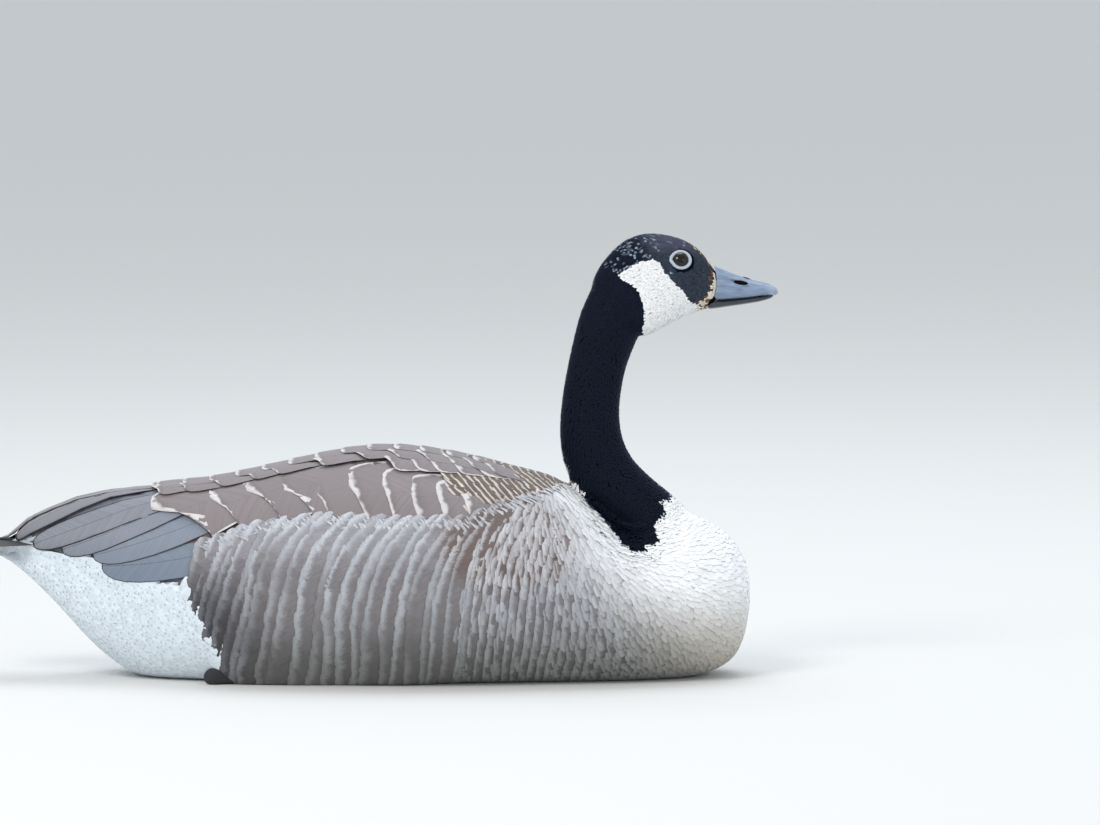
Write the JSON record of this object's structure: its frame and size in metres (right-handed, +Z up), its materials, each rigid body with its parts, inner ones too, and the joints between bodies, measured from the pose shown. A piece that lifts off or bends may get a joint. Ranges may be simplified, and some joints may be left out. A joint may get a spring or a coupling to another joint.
{
  "type": "canada goose",
  "caption": "Life-size still model of a Canada goose resting on its belly, wings folded and neck raised, as in a museum display.",
  "frame": {"origin": "on the ground, under the middle of the bird's length and width", "axes": "+X is the way the bird faces, +Y its left side, +Z up"},
  "size_m": [0.617, 0.2112, 0.337],
  "materials": {
    "plumage_body": "soft feathers, grey-brown with pale bars, cream white on the breast",
    "plumage_wing": "firm feathers, warm grey-brown with pale edges",
    "plumage_tail": "black tail feathers over a white stern",
    "plumage_neck": "short velvety black feathers with a bluish sheen",
    "plumage_head": "short velvety black feathers, white cheek patch",
    "bill_horn": "smooth dark blue-grey horn, semi-gloss",
    "eye_wet": "very dark brown, wet gloss",
    "leg_skin": "blackish scaly skin"
  },
  "bodies": {
    "root": {"torso": "plumage_body", "tail": "plumage_tail", "wing_right": "plumage_wing", "wing_left": "plumage_wing", "neck": "plumage_neck", "head": "plumage_head", "bill_upper": "bill_horn", "bill_lower": "bill_horn", "eye_right": "eye_wet", "eye_left": "eye_wet", "leg_right": "leg_skin", "leg_left": "leg_skin"}
  },
  "joints": []
}
